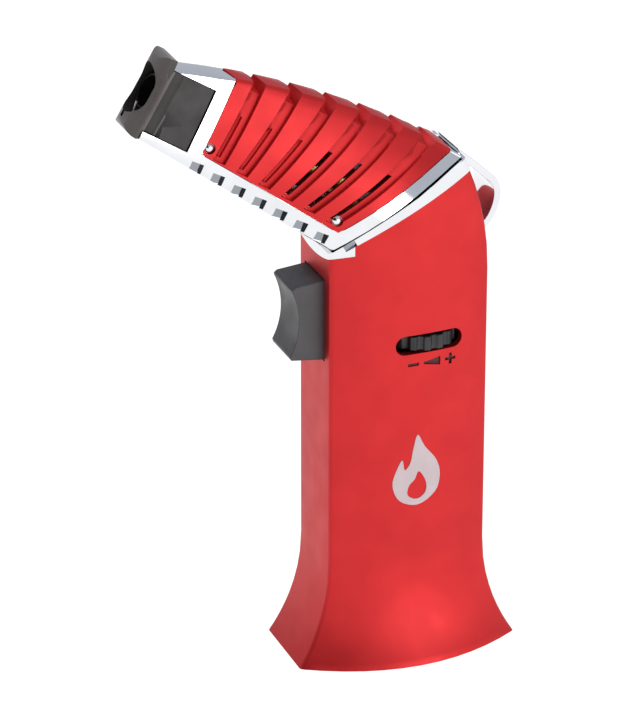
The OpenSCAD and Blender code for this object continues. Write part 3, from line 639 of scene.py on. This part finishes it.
def make_cover():
    """The louvred cover as a thin shell: an outer grid of points, an inner one behind it, and rims."""
    cols, open_after = cover_columns()
    lines = [c.points() for c in cols]
    rows = len(lines[0])
    total = 2 * rows - 1
    bm = bmesh.new()
    grid, twin = [], {}
    for pts in lines:
        column = []
        for r in range(total):
            u, y, v = pts[r] if r < rows else pts[total - 1 - r]
            side = -1 if r < rows else 1
            outer = bm.verts.new(from_head(u, side * y, v))
            iu, iy, iv = inner_point(u, y, v, min(r, total - 1 - r) > LAST_SIDE_ROW)
            twin[outer] = bm.verts.new(from_head(iu, side * iy, iv))
            column.append(outer)
        grid.append(column)
    for c in range(len(grid) - 1):
        for r in range(total - 1):
            if c in open_after and min(r, total - 2 - r) in SLOT_ROWS:
                continue
            a, b = grid[c], grid[c + 1]
            bm.faces.new((a[r], b[r], b[r + 1], a[r + 1]))
    bm.normal_update()
    if sum(f.normal.dot(f.calc_center_median() - from_head(20, 0, 0)) for f in bm.faces) < 0:
        bmesh.ops.reverse_faces(bm, faces=bm.faces)
    rims = [e.link_loops[0] for e in bm.edges if len(e.link_loops) == 1]
    rims = [(loop.vert, loop.link_loop_next.vert) for loop in rims]
    for f in bm.faces[:]:
        bm.faces.new([twin[v] for v in reversed(f.verts)])
    for a, b in rims:
        bm.faces.new((b, a, twin[a], twin[b]))
    mesh = bpy.data.meshes.new("vent_cover_skin")
    bm.to_mesh(mesh)
    bm.free()
    obj = bpy.data.objects.new("vent_cover_skin", mesh)
    scene.collection.objects.link(obj)
    sink_screw_recesses(obj)
    return obj


def sink_screw_recesses(obj):
    """Sinks a round recess for each screw into both sides of the cover."""
    half_len = 2
    radius = RECESS_R * MM
    sideways = Matrix.Rotation(math.pi / 2, 4, "X")
    bm = bmesh.new()
    for u, v in RECESSES:
        for side in (-1, 1):
            middle = from_head(u, side * (head_y(u, v) - RECESS_DEPTH + half_len), v)
            bmesh.ops.create_cone(bm, cap_ends=True, segments=40, radius1=radius, radius2=radius,
                                  depth=2 * half_len * MM, matrix=Matrix.Translation(middle) @ sideways)
    mesh = bpy.data.meshes.new("cutters")
    bm.to_mesh(mesh)
    bm.free()
    cutter = bpy.data.objects.new("cutters", mesh)
    scene.collection.objects.link(cutter)
    mod = obj.modifiers.new("recess", "BOOLEAN")
    mod.object = cutter
    mod.solver = "EXACT"
    mod.use_self = True
    depsgraph = bpy.context.evaluated_depsgraph_get()
    done = bpy.data.meshes.new_from_object(obj.evaluated_get(depsgraph))
    obj.modifiers.clear()
    obj.data = done
    bpy.data.objects.remove(cutter)
    bpy.data.meshes.remove(mesh)


# ---------------------------------------------------------------- stage and light

def make_floor():
    """A pale floor that glows a little, a hair below the foot, so that it reads as a white backdrop."""
    mesh = bpy.data.meshes.new("floor")
    bm = bmesh.new()
    bmesh.ops.create_grid(bm, x_segments=1, y_segments=1, size=6)
    bm.to_mesh(mesh)
    bm.free()
    floor = bpy.data.objects.new("floor", mesh)
    scene.collection.objects.link(floor)
    floor.location.z = -0.1 * MM
    n = Nodes("floor_white")
    n.link(n.mix(n.noise(3, 2), (0.18, 0.18, 0.18), (0.20, 0.20, 0.20)), n.bsdf.inputs["Base Color"])
    n.set(Roughness=1.0, Specular_IOR_Level=0.0, Emission_Color=(1, 1, 1, 1), Emission_Strength=1.0)
    floor.data.materials.append(n.mat)


def area(name, at, aim, size, power):
    data = bpy.data.lights.new(name, "AREA")
    data.shape = "RECTANGLE"
    data.size, data.size_y = size
    data.energy = power
    lamp = bpy.data.objects.new(name, data)
    scene.collection.objects.link(lamp)
    lamp.location = at
    direction = Vector(aim) - Vector(at)
    lamp.rotation_euler = direction.to_track_quat("-Z", "Y").to_euler()


DARK_PATCH = Vector((-0.75, -0.55, 0.35))


def make_world():
    """A pale sky with a soft dark patch, low on the nozzle's side, that gives the plating its contrast."""
    world = bpy.data.worlds.new("studio")
    scene.world = world
    world.use_nodes = True
    tree = world.node_tree
    coords = tree.nodes.new("ShaderNodeTexCoord")
    dot = tree.nodes.new("ShaderNodeVectorMath")
    dot.operation = "DOT_PRODUCT"
    dot.inputs[1].default_value = DARK_PATCH.normalized()
    tree.links.new(coords.outputs["Generated"], dot.inputs[0])
    fade = tree.nodes.new("ShaderNodeMapRange")
    fade.interpolation_type = "SMOOTHSTEP"
    fade.inputs["From Min"].default_value = 0.70
    fade.inputs["From Max"].default_value = 0.90
    tree.links.new(dot.outputs["Value"], fade.inputs["Value"])
    mix = tree.nodes.new("ShaderNodeMix")
    mix.data_type = "RGBA"
    mix.inputs["A"].default_value = (0.51, 0.54, 0.60, 1)
    mix.inputs["B"].default_value = (0.03, 0.03, 0.03, 1)
    tree.links.new(fade.outputs["Result"], mix.inputs["Factor"])
    tree.links.new(mix.outputs["Result"], tree.nodes["Background"].inputs["Color"])


def make_light():
    area("key", (0.36, -0.86, 0.19), (-0.01, 0, 0.08), (0.60, 0.40), 3.0)
    area("top", (0.05, 0.3, 1.1), (0.05, 0.2, 0), (1.2, 1.2), 4)


make_camera()
mats = make_materials()
finish_nodes()
make_floor()
make_world()
make_light()
scene.view_settings.view_transform = "Standard"
